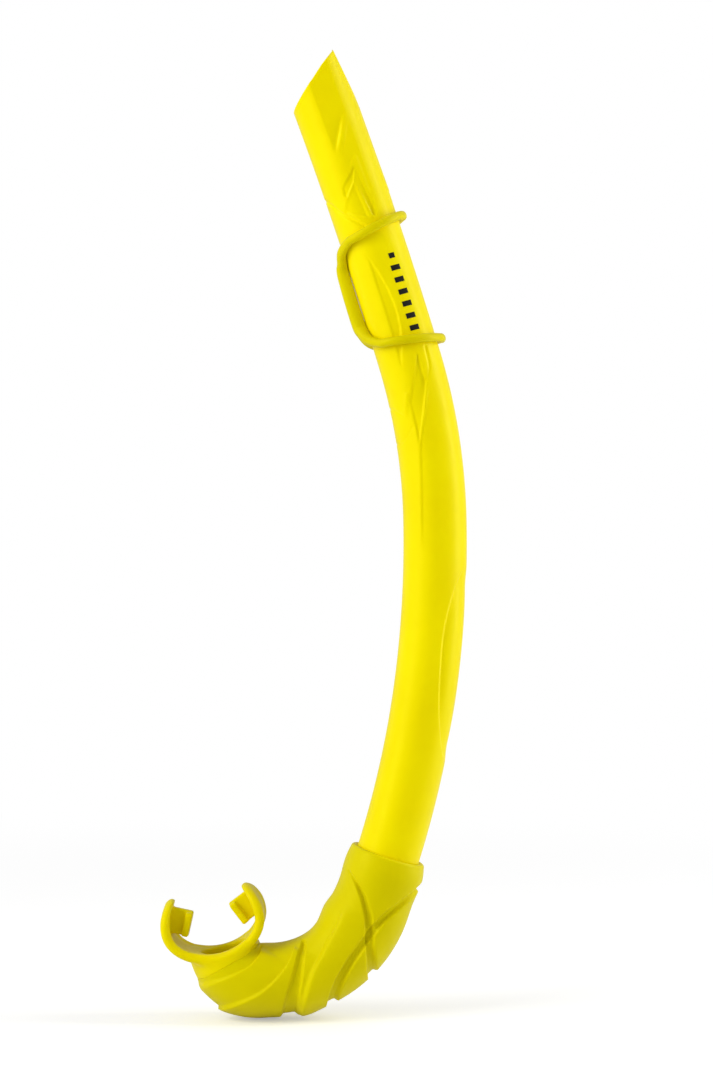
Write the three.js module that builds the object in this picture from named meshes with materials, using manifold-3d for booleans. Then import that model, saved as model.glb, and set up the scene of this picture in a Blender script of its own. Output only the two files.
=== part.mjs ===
// Soft J-shaped snorkel: a curved barrel, an elbow boot, a mouthpiece and a mask-strap keeper.
// Millimetres. +Z is up, +X runs from the mouth towards the tube, and Y is across the J.
// The origin is the middle of the bite, between the two bite tabs.
import * as THREE from "three";
import { mergeVertices } from "three/addons/utils/BufferGeometryUtils.js";
import Module from "manifold-3d";

const wasm = await Module();
wasm.setup();

// ---- Driving dimensions ----

// The airway's centre line lies in the plane Y = 0. It starts under the lip shield, goes down into
// the elbow, and climbs through the boot and the barrel. A heading is the angle from +Z towards +X.
const AIRWAY_START = { x: 5.3, z: -14.4, heading: 172 };
const MOUTH_BEND = { radius: 16.2, turn: -82 };
const BOOT_FLOOR = { length: 3.5 };
const BOOT_BEND = { radius: 44.5, turn: -72.5 };
const BOOT_SLEEVE = { length: 22.9 };
const BARREL_LOWER = { length: 80.5, turn: -11 };
const BARREL_BELLY = { length: 61.5, turn: -7.7 };
const BARREL_BEND = { length: 68, turn: -15.5 };
const BARREL_UPPER = { length: 111.5, turn: -3.5 };
const BARREL_TIP = { length: 40 };

const BORE_R = 10.25;
const FIT_GAP = 0.3;

const BARREL_R = 13.3;
const SPIGOT_DEPTH = 21;
const SPIGOT_BEAD = { depth: 11, height: 0.7, width: 3 };
const TOP_CUT = { x: 34.6, z: 335.9, slope: 56.1 };
const TIP_CHAMFER = { x: 60.3, z: 341.9, slope: -63.3 };

const COLLAR_R = 16.2;
const FLOOR_R = 15.4;
const LIP_R = { inPlane: 15.3, across: 14.4 };
const BOOT_LIP_TURN = 22;
const SOCKET_DEPTH = 9;

const NECK_R = { inPlane: 14.4, across: 13.4 };
const NECK_SPIGOT_R = { inPlane: 12.2, across: 12 };
const NECK_BORE_R = { inPlane: 9.8, across: 9 };

const SHIELD_ROLL = 8;
const SHIELD = { halfWidth: 21.6, floor: 15, rise: 20, centre: -3.5, wall: 3.2, height: 26, tip: 37.5 };
const SHIELD_END = { start: -2, rise: 11.2 };
const TAB = { inner: 10.9, outer: 19.8, low: -7.15, high: 2.95, thickness: 3, lean: 34 };
const TAB_RIDGE = { width: 2.8, height: 9.4 };

const KEEPER_AT = { upper: 0.5, lower: 0.07 };
const RING = { gap: 0.35, thickness: 3.2, width: 4.6, tilt: 11 };
const BAR = { width: 5.4, thickness: 4.8, gap: 0.5 };

const LOOKS = {
  barrel: { color: 0xf2de00, roughness: 0.38 },
  boot: { color: 0xeeda00, roughness: 0.42 },
  mouthpiece: { color: 0xf0dc00, roughness: 0.45 },
  keeper: { color: 0xe6d200, roughness: 0.45 },
};

// ---- The airway's centre line ----

const rad = THREE.MathUtils.degToRad;

// A plane curve of straight stretches and round bends, measured by the distance along it.
class ArcChain {
  constructor(start, stretches) {
    this.pieces = [];
    let at = { x: start.x, z: start.z, heading: rad(start.heading), s: 0 };
    for (const stretch of stretches) {
      const turn = rad(stretch.turn ?? 0);
      const length = stretch.length ?? stretch.radius * Math.abs(turn);
      this.pieces.push({ ...at, length, turn });
      at = { ...this.walk({ ...at, length, turn }, length), s: at.s + length };
    }
    this.length = at.s;
  }

  walk(piece, distance) {
    const curvature = piece.turn / piece.length;
    const heading = piece.heading + curvature * distance;
    if (curvature === 0) {
      const x = piece.x + distance * Math.sin(heading);
      const z = piece.z + distance * Math.cos(heading);
      return { x, z, heading };
    }
    const x = piece.x + (Math.cos(piece.heading) - Math.cos(heading)) / curvature;
    const z = piece.z + (Math.sin(heading) - Math.sin(piece.heading)) / curvature;
    return { x, z, heading };
  }

  // The point and heading at distance s; past either end the line runs straight on.
  at(s) {
    const first = this.pieces[0];
    if (s < 0) return this.walk({ ...first, turn: 0 }, s);
    const piece = this.pieces.findLast((p) => p.s <= s) ?? first;
    return this.walk(piece, s - piece.s);
  }
}

const airway = new ArcChain(AIRWAY_START, [
  MOUTH_BEND,
  BOOT_FLOOR,
  BOOT_BEND,
  BOOT_SLEEVE,
  BARREL_LOWER,
  BARREL_BELLY,
  BARREL_BEND,
  BARREL_UPPER,
  BARREL_TIP,
]);

const LIP_S = MOUTH_BEND.radius * rad(BOOT_LIP_TURN);
const FLOOR_S = airway.pieces[1].s;
const COLLAR_S = airway.pieces[4].s;
const UPPER_S = airway.pieces[7].s;

// ---- Solids ----

const ROUND_SIDES = 32;
const BARREL_STEP = 11;
const BOOT_STEP = 5;
const NECK_STEP = 3;
const OVERRUN = 2;

function solid(geometry) {
  const bare = geometry.clone();
  bare.deleteAttribute("normal");
  bare.deleteAttribute("uv");
  const merged = mergeVertices(bare, 1e-4);
  const vertProperties = merged.attributes.position.array;
  const triVerts = new Uint32Array(merged.index.array);
  return new wasm.Manifold(new wasm.Mesh({ numProp: 3, vertProperties, triVerts }));
}

function surface(manifold) {
  const mesh = manifold.getMesh();
  const indexed = new THREE.BufferGeometry();
  indexed.setAttribute("position", new THREE.BufferAttribute(mesh.vertProperties, 3));
  indexed.setIndex(new THREE.BufferAttribute(mesh.triVerts, 1));
  const geometry = indexed.toNonIndexed();
  geometry.computeVertexNormals();
  return geometry;
}

// Extrudes a unit circle along the airway from distance `from` to `to`. widthAt(s) gives the
// section's half-widths there: in the plane of the J, and across it.
function sweep(from, to, widthAt, step) {
  const outline = new THREE.Shape();
  outline.absarc(0, 0, 1, 0, 2 * Math.PI);
  const depth = to - from;
  const steps = Math.max(1, Math.round(depth / step));
  const options = { depth, steps, curveSegments: ROUND_SIDES / 2, bevelEnabled: false };
  const geometry = new THREE.ExtrudeGeometry(outline, options);
  const position = geometry.attributes.position;
  for (let i = 0; i < position.count; i++) {
    const s = from + position.getZ(i);
    const { inPlane, across } = widthAt(s);
    const { x, z, heading } = airway.at(s);
    const side = position.getX(i) * inPlane;
    const y = -position.getY(i) * across;
    position.setXYZ(i, x - side * Math.cos(heading), y, z + side * Math.sin(heading));
  }
  return solid(geometry);
}

const circle = (radius) => () => ({ inPlane: radius, across: radius });
const oval = (widths) => () => widths;

// Everything on the far side of a plane that stands across the J, passing through (x, z) and
// climbing at `slope` degrees from +X.
function beyond({ x, z, slope }) {
  const size = 200; // more than the barrel's top takes up
  const block = new THREE.BoxGeometry(size, size, size);
  block.translate(0, 0, size / 2);
  block.rotateY(-rad(slope));
  block.translate(x, 0, z);
  return solid(block);
}

// A ring of rounded section around the airway at distance s, rooted 1 mm inside the radius.
function bead(s, radius, height, width) {
  const root = radius - 1;
  const profile = new THREE.Path();
  profile.moveTo(root, -width / 2);
  profile.lineTo(radius, -width / 2);
  profile.quadraticCurveTo(radius + 2 * height, 0, radius, width / 2);
  profile.lineTo(root, width / 2);
  profile.lineTo(root, -width / 2);
  const pointsPerCurve = 4;
  const ring = new THREE.LatheGeometry(profile.getPoints(pointsPerCurve), ROUND_SIDES);
  ring.rotateX(Math.PI / 2);
  const { x, z, heading } = airway.at(s);
  ring.rotateY(heading);
  ring.translate(x, 0, z);
  return solid(ring);
}

// ---- Barrel ----

function barrelSolid() {
  const start = COLLAR_S - SPIGOT_DEPTH;
  const wall = sweep(start, airway.length, circle(BARREL_R), BARREL_STEP);
  const bore = sweep(start - OVERRUN, airway.length + OVERRUN, circle(BORE_R), BARREL_STEP);
  const retainer = bead(COLLAR_S - SPIGOT_BEAD.depth, BARREL_R, SPIGOT_BEAD.height, SPIGOT_BEAD.width);
  return wall.add(retainer).subtract(bore).subtract(beyond(TOP_CUT)).subtract(beyond(TIP_CHAMFER));
}

// ---- Boot ----

// The boot narrows evenly from its collar to its floor, and again towards the mouthpiece.
function bootWidth(s) {
  if (s > FLOOR_S) {
    const t = THREE.MathUtils.smoothstep(s, FLOOR_S, COLLAR_S);
    const radius = THREE.MathUtils.lerp(FLOOR_R, COLLAR_R, t);
    return { inPlane: radius, across: radius };
  }
  const t = THREE.MathUtils.smoothstep(s, LIP_S, FLOOR_S);
  const inPlane = THREE.MathUtils.lerp(LIP_R.inPlane, FLOOR_R, t);
  const across = THREE.MathUtils.lerp(LIP_R.across, FLOOR_R, t);
  return { inPlane, across };
}

function bootSolid() {
  const wall = sweep(LIP_S, COLLAR_S, bootWidth, BOOT_STEP);
  const bore = sweep(LIP_S - OVERRUN, COLLAR_S + OVERRUN, circle(BORE_R), BOOT_STEP);
  const sleeveStart = COLLAR_S - SPIGOT_DEPTH - FIT_GAP;
  const sleeve = sweep(sleeveStart, COLLAR_S + OVERRUN, circle(BARREL_R + FIT_GAP), BOOT_STEP);
  const groove = bead(
    COLLAR_S - SPIGOT_BEAD.depth,
    BARREL_R + FIT_GAP,
    SPIGOT_BEAD.height,
    SPIGOT_BEAD.width + 2 * FIT_GAP,
  );
  const socketWidths = {
    inPlane: NECK_SPIGOT_R.inPlane + FIT_GAP,
    across: NECK_SPIGOT_R.across + FIT_GAP,
  };
  const socket = sweep(LIP_S - OVERRUN, LIP_S + SOCKET_DEPTH, oval(socketWidths), NECK_STEP);
  return wall.subtract(bore).subtract(sleeve).subtract(groove).subtract(socket);
}

// ---- Mouthpiece ----

// The lip shield in plan: a C of even wall, open towards the mouth. Its floor and its arms are
// two half-ellipses that meet where the C is widest.
function shieldOutline() {
  const { halfWidth, floor, rise, centre, wall, tip } = SHIELD;
  const end = rad(tip);
  const outline = new THREE.Shape();
  outline.absellipse(0, centre, halfWidth, rise, end, 0, true, 0);
  outline.absellipse(0, centre, halfWidth, floor, 0, -Math.PI, true, 0);
  outline.absellipse(0, centre, halfWidth, rise, Math.PI, Math.PI - end, true, 0);
  outline.absellipse(0, centre, halfWidth - wall, rise - wall, Math.PI - end, Math.PI, false, 0);
  outline.absellipse(0, centre, halfWidth - wall, floor - wall, -Math.PI, 0, false, 0);
  outline.absellipse(0, centre, halfWidth - wall, rise - wall, 0, end, false, 0);
  outline.closePath();
  return outline;
}

// The shield seen from its side: straight edges that round off over the ends of the arms.
function shieldSideOutline() {
  const half = SHIELD.height / 2;
  const below = SHIELD.centre - SHIELD.floor - OVERRUN;
  const outline = new THREE.Shape();
  outline.moveTo(-half, below);
  outline.lineTo(half, below);
  outline.lineTo(half, SHIELD_END.start);
  outline.absellipse(0, SHIELD_END.start, half, SHIELD_END.rise, 0, Math.PI, false, 0);
  outline.closePath();
  return outline;
}

// Turns an extrusion so that its outline lies in the XZ plane and its depth is centred on Y = 0.
function extrudeAcross(outline, depth, curveSegments) {
  const geometry = new THREE.ExtrudeGeometry(outline, { depth, curveSegments, bevelEnabled: false });
  geometry.translate(0, 0, -depth / 2);
  geometry.rotateX(Math.PI / 2);
  return geometry;
}

function shieldSolid() {
  const curveSegments = 9;
  const plan = solid(extrudeAcross(shieldOutline(), SHIELD.height, curveSegments));
  const sideways = extrudeAcross(shieldSideOutline(), 3 * SHIELD.halfWidth, curveSegments);
  sideways.rotateZ(Math.PI / 2);
  return plan.intersect(solid(sideways));
}

// One bite tab: a flat blade between the teeth, with a standing ridge behind them.
function tabSolid(side) {
  const length = TAB.high - TAB.low;
  const reach = TAB.outer - TAB.inner;
  const blade = new THREE.BoxGeometry(reach, TAB.thickness, length);
  blade.translate(TAB.inner + reach / 2, 0, 0);
  const ridge = new THREE.BoxGeometry(TAB_RIDGE.width, TAB_RIDGE.height, length);
  ridge.translate(TAB.inner + TAB_RIDGE.width / 2, 0, 0);
  const place = new THREE.Matrix4().makeTranslation(0, 0, (TAB.high + TAB.low) / 2);
  const turn = new THREE.Matrix4().makeRotationY(-rad(TAB.lean));
  const pivot = new THREE.Matrix4().makeTranslation(-TAB.inner, 0, 0);
  const back = new THREE.Matrix4().makeTranslation(TAB.inner, 0, 0);
  const mirror = new THREE.Matrix4().makeRotationZ(side < 0 ? Math.PI : 0);
  const matrix = mirror.multiply(place).multiply(back).multiply(turn).multiply(pivot);
  return solid(blade.applyMatrix4(matrix)).add(solid(ridge.applyMatrix4(matrix)));
}

function mouthpieceSolid() {
  const roll = new THREE.Matrix4().makeRotationY(-rad(SHIELD_ROLL));
  const cup = shieldSolid().add(tabSolid(1)).add(tabSolid(-1));
  const rolled = solid(surface(cup).applyMatrix4(roll));
  const intoShield = -1.5;
  const throughShield = -9;
  const spigotEnd = LIP_S + SOCKET_DEPTH - FIT_GAP;
  const neck = sweep(intoShield, LIP_S - FIT_GAP, oval(NECK_R), NECK_STEP);
  const spigot = sweep(0, spigotEnd, oval(NECK_SPIGOT_R), NECK_STEP);
  const bore = sweep(throughShield, spigotEnd + OVERRUN, oval(NECK_BORE_R), NECK_STEP);
  return rolled.add(neck).add(spigot).subtract(bore);
}

// ---- Keeper ----

// The keeper is built round the Z axis, which lies on the barrel's axis between the two rings,
// with its bar on the -X side. Its rings lean towards each other at the bar.
function keeperFrame() {
  const upperS = UPPER_S + KEEPER_AT.upper * BARREL_UPPER.length;
  const lowerS = UPPER_S + KEEPER_AT.lower * BARREL_UPPER.length;
  const upper = airway.at(upperS);
  const lower = airway.at(lowerS);
  const middle = airway.at((upperS + lowerS) / 2);
  const axis = new THREE.Vector3(upper.x - lower.x, 0, upper.z - lower.z);
  const towardsArc = 2 / 3;
  return {
    x: THREE.MathUtils.lerp((upper.x + lower.x) / 2, middle.x, towardsArc),
    z: THREE.MathUtils.lerp((upper.z + lower.z) / 2, middle.z, towardsArc),
    lean: Math.atan2(axis.x, axis.z),
    spacing: axis.length(),
  };
}

function keeperSolid(spacing) {
  const inner = BARREL_R + RING.gap;
  const centreR = inner + RING.thickness / 2;
  const rings = [1, -1].map((end) => {
    const ring = new THREE.TorusGeometry(centreR, RING.thickness / 2, 8, 28);
    ring.scale(1, 1, RING.width / RING.thickness);
    ring.rotateY(-end * rad(RING.tilt));
    ring.translate(0, 0, (end * spacing) / 2);
    return solid(ring);
  });
  const barX = BARREL_R + BAR.gap + BAR.thickness / 2;
  const length = spacing - 2 * centreR * Math.tan(rad(RING.tilt));
  const bar = new THREE.CylinderGeometry(BAR.width / 2, BAR.width / 2, length, 14);
  bar.rotateX(Math.PI / 2);
  bar.scale(BAR.thickness / BAR.width, 1, 1);
  bar.translate(-barX, 0, 0);
  const clearance = new THREE.CylinderGeometry(inner, inner, 2 * spacing, 48);
  clearance.rotateX(Math.PI / 2);
  return rings[0].add(rings[1]).add(solid(bar)).subtract(solid(clearance));
}

// ---- Assembly ----

function part(name, manifold) {
  const material = new THREE.MeshStandardMaterial({ ...LOOKS[name], metalness: 0 });
  const mesh = new THREE.Mesh(surface(manifold), material);
  mesh.name = name;
  return mesh;
}

const snorkel = new THREE.Group();
snorkel.add(part("barrel", barrelSolid()));
snorkel.add(part("boot", bootSolid()));
snorkel.add(part("mouthpiece", mouthpieceSolid()));

const frame = keeperFrame();
const keeper = part("keeper", keeperSolid(frame.spacing));
keeper.position.set(frame.x, 0, frame.z);
keeper.rotation.y = frame.lean;
snorkel.add(keeper);

export default snorkel;
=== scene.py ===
"""The looks of a soft yellow J-shaped snorkel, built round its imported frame.

Lengths are millimetres, in the frame's own axes: +Z up, +X from the mouth towards the tube, +Y away from the
camera. Meshes are turned into metres as they are made. CAD_BOX, the materials and the studio are in metres.
"""

import math

import bpy
import numpy as np
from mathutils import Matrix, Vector


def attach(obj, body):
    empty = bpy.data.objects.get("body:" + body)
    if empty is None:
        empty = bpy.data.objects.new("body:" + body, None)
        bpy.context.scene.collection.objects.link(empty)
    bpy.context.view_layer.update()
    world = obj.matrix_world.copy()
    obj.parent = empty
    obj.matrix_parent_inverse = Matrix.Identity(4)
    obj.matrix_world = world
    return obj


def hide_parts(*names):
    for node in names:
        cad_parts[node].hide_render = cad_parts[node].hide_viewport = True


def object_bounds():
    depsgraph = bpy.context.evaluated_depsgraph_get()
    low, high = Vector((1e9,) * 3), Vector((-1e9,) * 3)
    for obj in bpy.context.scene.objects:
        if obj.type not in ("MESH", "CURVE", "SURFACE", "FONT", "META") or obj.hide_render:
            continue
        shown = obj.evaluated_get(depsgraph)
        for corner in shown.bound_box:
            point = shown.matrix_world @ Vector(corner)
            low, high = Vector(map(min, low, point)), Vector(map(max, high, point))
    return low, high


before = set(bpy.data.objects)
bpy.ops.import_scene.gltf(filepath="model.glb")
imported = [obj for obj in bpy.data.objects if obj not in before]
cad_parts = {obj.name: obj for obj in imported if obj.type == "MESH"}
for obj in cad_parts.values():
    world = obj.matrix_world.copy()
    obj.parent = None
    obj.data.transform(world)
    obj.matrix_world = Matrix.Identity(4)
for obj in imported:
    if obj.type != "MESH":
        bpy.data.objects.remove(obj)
CAD_BOX = [list(corner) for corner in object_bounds()]

MM = 0.001

# ---- Sizes that the visual model shares with the CAD model ----

MOUTH_BEND_R = 16.2
MOUTH_BEND_TURN = 82
LIP_TURN = 22
ELBOW_BEND_R = 44.5
ELBOW_BEND_TURN = 72.5

AIRWAY_START = (5.3, -14.4, 172.0)  # x, z and heading in degrees
AIRWAY = [  # length, and turn in degrees
    (MOUTH_BEND_R * math.radians(MOUTH_BEND_TURN), -MOUTH_BEND_TURN),
    (3.5, 0),
    (ELBOW_BEND_R * math.radians(ELBOW_BEND_TURN), -ELBOW_BEND_TURN),
    (22.9, 0),
    (80.5, -11),
    (61.5, -7.7),
    (68, -15.5),
    (111.5, -3.5),
    (40, 0),
]
COLLAR_STRETCH = 4
UPPER_STRETCH = 7
LIP_S = MOUTH_BEND_R * math.radians(LIP_TURN)
FLOOR_S = MOUTH_BEND_R * math.radians(MOUTH_BEND_TURN)
BORE_R = 10.25
BARREL_R = 13.3
SPIGOT_DEPTH = 21
SLEEVE_R = 13.6
TOP_CUT = (34.6, 335.9, 56.1)  # a point x, z of the plane, and its slope in degrees
TIP_CHAMFER = (60.3, 341.9, -63.3)
NECK_ROLL = 180 - AIRWAY_START[2]
KEEPER_AT = (0.5, 0.07)  # the rings' places, as shares of the upper stretch
RING_TILT = 11


def rad(degrees):
    return math.radians(degrees)


def smooth(x):
    x = np.clip(x, 0, 1)
    return x * x * (3 - 2 * x)


class Airway:
    """The centre line in the plane Y = 0, as arcs measured by the distance along it."""

    def __init__(self, start, stretches):
        x, z, heading = start[0], start[1], rad(start[2])
        s = 0.0
        self.pieces = []
        for length, turn in stretches:
            self.pieces.append((s, x, z, heading, rad(turn) / length))
            x, z, heading = self.walk(self.pieces[-1], length)
            s += length

    @staticmethod
    def walk(piece, distance):
        _, x, z, start, curvature = piece
        heading = start + curvature * distance
        if curvature == 0:
            return x + distance * math.sin(start), z + distance * math.cos(start), heading
        dx = (math.cos(start) - np.cos(heading)) / curvature
        dz = (np.sin(heading) - math.sin(start)) / curvature
        return x + dx, z + dz, heading

    def at(self, s):
        """Arrays x, z and heading at the distances s; past either end the line runs straight on."""
        s = np.asarray(s, float)
        x, z, heading = (np.zeros_like(s) for _ in range(3))
        for i, piece in enumerate(self.pieces):
            low = piece[0] if i else -np.inf
            high = self.pieces[i + 1][0] if i + 1 < len(self.pieces) else np.inf
            here = (s >= low) & (s < high)
            if here.any():
                x[here], z[here], heading[here] = self.walk(piece, s[here] - piece[0])
        return x, z, heading


airway = Airway(AIRWAY_START, AIRWAY)
COLLAR_S = airway.pieces[COLLAR_STRETCH][0]
UPPER_S = airway.pieces[UPPER_STRETCH][0]
UPPER_LENGTH = AIRWAY[UPPER_STRETCH][0]

# ---- Moulded relief: heights over the plane of the J, alike on the near and the far side ----

FULL_GROOVE_WIDTH = 1.6  # narrower grooves are shallower too
STEP_END = 0.12  # the share of a step's length over which each end fades out
CREST_END = 0.2

def spline(points, per_span=10):
    """A smooth curve through a few points (Catmull-Rom), as an array with the points' own columns."""
    p = np.array(points, float)
    p = np.vstack([2 * p[0] - p[1], p, 2 * p[-1] - p[-2]])
    t = np.linspace(0, 1, per_span, endpoint=False)[:, None]
    spans = []
    for a, b, c, d in zip(p, p[1:], p[2:], p[3:]):
        square, cube = 2 * a - 5 * b + 4 * c - d, 3 * b - a - 3 * c + d
        spans.append(0.5 * (2 * b + (c - a) * t + square * t**2 + cube * t**3))
    return np.vstack([*spans, p[-2:-1]])


def nearest(at, line):
    """For each point of `at`: its distance to a polyline, which side it is on, and the place along it."""
    best = np.full(len(at), np.inf)
    side = np.zeros(len(at))
    place = np.zeros(len(at))
    for i, (a, b) in enumerate(zip(line[:-1, :2], line[1:, :2])):
        along = b - a
        rel = at - a
        t = np.clip(rel @ along / max(along @ along, 1e-9), 0, 1)
        off = rel - t[:, None] * along
        d = np.hypot(off[:, 0], off[:, 1])
        closer = d < best
        best[closer] = d[closer]
        side[closer] = np.sign(along[0] * rel[closer, 1] - along[1] * rel[closer, 0])
        place[closer] = (i + t[closer]) / (len(line) - 1)
    return best, side, place


def within(at, outline):
    """Which points lie inside a closed outline."""
    inside = np.zeros(len(at), bool)
    for (x1, z1), (x2, z2) in zip(outline[:-1], outline[1:]):
        crosses = (z1 > at[:, 1]) != (z2 > at[:, 1])
        with np.errstate(divide="ignore", invalid="ignore"):
            x = x1 + (at[:, 1] - z1) * (x2 - x1) / (z2 - z1)
        inside ^= crosses & (at[:, 0] < x)
    return inside


class Groove:
    """A channel along a curve. Each point is x, z and the width there."""

    def __init__(self, points, depth, edge=0.45):
        self.line, self.depth, self.edge = spline(points), depth, edge
        self.reach = self.line[:, 2].max()

    def height(self, at, _):
        d, _, place = nearest(at, self.line)
        width = np.interp(place, np.linspace(0, 1, len(self.line)), self.line[:, 2])
        full = smooth((width / 2 + self.edge / 2 - d) / (self.edge + 0.15 * width))
        return -self.depth * full * np.clip(width / FULL_GROOVE_WIDTH, 0.2, 1)


class Facet:
    """A sunk or raised panel with straight, crisp sides. `tilt` is its growth per millimetre of x and z."""

    def __init__(self, points, height, edge=0.5, tilt=(0, 0)):
        outline = np.array(points, float)
        self.line = np.vstack([outline, outline[:1]])
        self.peak, self.edge, self.tilt = height, edge, np.array(tilt, float)
        self.centre = outline.mean(0)
        self.reach = edge

    def height(self, at, _):
        d, _, _ = nearest(at, self.line)
        inside = within(at, self.line)
        level = np.clip(1 + (at - self.centre) @ self.tilt, 0.15, 2)
        return self.peak * level * smooth(np.where(inside, d, -d) / self.edge)


class Step:
    """A crest with a crisp face on one side, which dies away gently over `fade` on the other."""

    def __init__(self, points, height, fade, side, edge=0.7):
        self.line, self.peak, self.fade, self.side, self.edge = spline(points), height, fade, side, edge
        self.reach = 3 * fade

    def height(self, at, _):
        d, side, place = nearest(at, self.line)
        signed = d * side * self.side
        face = smooth((signed + self.edge) / self.edge)
        slope = np.exp(-((np.clip(signed, 0, None) / self.fade) ** 1.5))
        ends = smooth(place / STEP_END) * smooth((1 - place) / STEP_END)
        return self.peak * face * slope * ends


class Flat:
    """Part of a round wall cut flat: the plane is `depth` under the round, facing `angle` degrees from Y."""

    def __init__(self, points, radius, depth, angle, edge):
        outline = np.array(points, float)
        self.line = np.vstack([outline, outline[:1]])
        self.radius, self.depth, self.angle, self.edge = radius, depth, rad(angle), edge
        self.reach = edge

    def height(self, at, facing):
        d, _, _ = nearest(at, self.line)
        inside = smooth(np.where(within(at, self.line), d, -d) / self.edge)
        plane = (self.radius - self.depth) / np.clip(np.cos(facing - self.angle), 0.5, 1)
        return np.minimum(plane - self.radius, 0) * inside


class Crest:
    """A rounded ridge along a curve."""

    def __init__(self, points, height, width):
        self.line, self.peak, self.width = spline(points), height, width
        self.reach = 2.5 * width

    def height(self, at, _):
        d, _, place = nearest(at, self.line)
        ends = smooth(place / CREST_END) * smooth((1 - place) / CREST_END)
        return self.peak * np.exp(-((d / self.width) ** 2)) * ends


def relief(features, at, theta):
    """The summed height of the features at points (x, z), each looked at only near its own curve."""
    facing = np.arcsin(np.cos(theta))
    total = np.zeros(len(at))
    for feature in features:
        low = feature.line[:, :2].min(0) - feature.reach - 1
        high = feature.line[:, :2].max(0) + feature.reach + 1
        near = ((at > low) & (at < high)).all(1)
        if near.any():
            total[near] += feature.height(at[near], facing[near])
    return total


BARREL_RELIEF = [
    # The flat panel under the slanted top, and the bands that close it in.
    Flat(
        [(36, 340), (51, 368), (64, 342), (59.4, 340.5), (56.9, 334.9), (53.9, 320.8), (51.9, 311.5),
         (44, 330)],
        BARREL_R, depth=0.95, angle=7, edge=1.6,
    ),
    Flat(
        [(60.2, 341.5), (57.6, 334.5), (54.8, 320.8), (52.4, 309.5), (56.0, 306.5), (60.4, 315.0),
         (66.0, 300.0), (72.0, 303.0), (62.6, 330.5)],
        BARREL_R, depth=0.45, angle=14, edge=1.6,
    ),
    Step([(60.0, 341), (62.6, 330.5), (66.9, 318.2), (72.4, 305.9), (76.2, 297)], 0.3, fade=1.6, side=1),
    # The chevron above the upper ring, with a smaller triangle under it.
    Facet(
        [(60.1, 312.4), (54.9, 302.0), (55.6, 298.6), (56.9, 297.6), (59.9, 305.0)],
        -0.5, edge=0.6, tilt=(0.12, -0.02),
    ),
    Facet(
        [(60.1, 312.4), (59.9, 305.0), (67.5, 290.8), (69.4, 290.4), (68.4, 294.6)],
        -0.55, edge=0.6, tilt=(0.05, -0.03),
    ),
    Facet([(59.9, 305.0), (56.9, 297.6), (55.4, 291.4), (66.6, 289.6)], -0.38, edge=0.9, tilt=(0.1, -0.03)),
    Groove([(47.6, 298.4, 0.8), (53.8, 292.4, 1.2), (58.4, 289.6, 1.6), (64.4, 286.2, 1.2)], depth=0.7),
    Facet([(70.4, 283.6), (75.9, 281.6), (73.6, 277.4)], 0.35),
    # The leaf between the rings, running on under the lower ring.
    Facet(
        [(65.0, 274.2), (69.4, 268.4), (73.9, 260.7), (77.3, 252.9), (79.2, 244.5), (79.8, 236.0),
         (79.6, 226.0), (76.4, 239.2), (72.3, 252.5), (68.4, 264.1)],
        -0.6, edge=0.4, tilt=(0.22, 0.07),
    ),
    Step(
        [(65.6, 274.0), (69.8, 268.2), (74.3, 260.5), (77.7, 252.7), (79.6, 244.5), (80.2, 236), (80.1, 225)],
        0.4, fade=1.2, side=-1,
    ),
    # The kite under the lower ring, the band beside it and the line that it trails.
    Facet([(86.0, 234.5), (82.9, 213.5), (87.0, 195.5), (90.1, 222.0)], -0.6, tilt=(0.15, 0)),
    Crest([(81.4, 236.0), (81.9, 222.0), (80.8, 205.0)], 0.4, width=1.0),
    Groove([(89.4, 236.5, 1.2), (91.0, 229.0, 1.0), (90.6, 223.0, 0.6)], depth=0.5),
    Step([(90.4, 222.0), (89.0, 209.0), (87.2, 196.0), (87.6, 178.0), (87.9, 150.0)], 0.4, fade=2.6, side=-1),
    Groove([(72.6, 211.6, 0.6), (76.2, 210.4, 1.0), (80.6, 207.4, 0.6)], depth=0.35),
    Groove([(75.2, 197.4, 0.6), (79.4, 196.4, 1.0), (84.6, 203.6, 0.6)], depth=0.35),
    # The long scoop on the outer side of the barrel's belly.
    Step(
        [(106.4, 146.0), (101.2, 133.0), (97.6, 119.0), (96.1, 104.0), (95.6, 88.0), (96.3, 74.7),
         (98.0, 62.0)],
        -0.9, fade=5.0, side=1,
    ),
]

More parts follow.
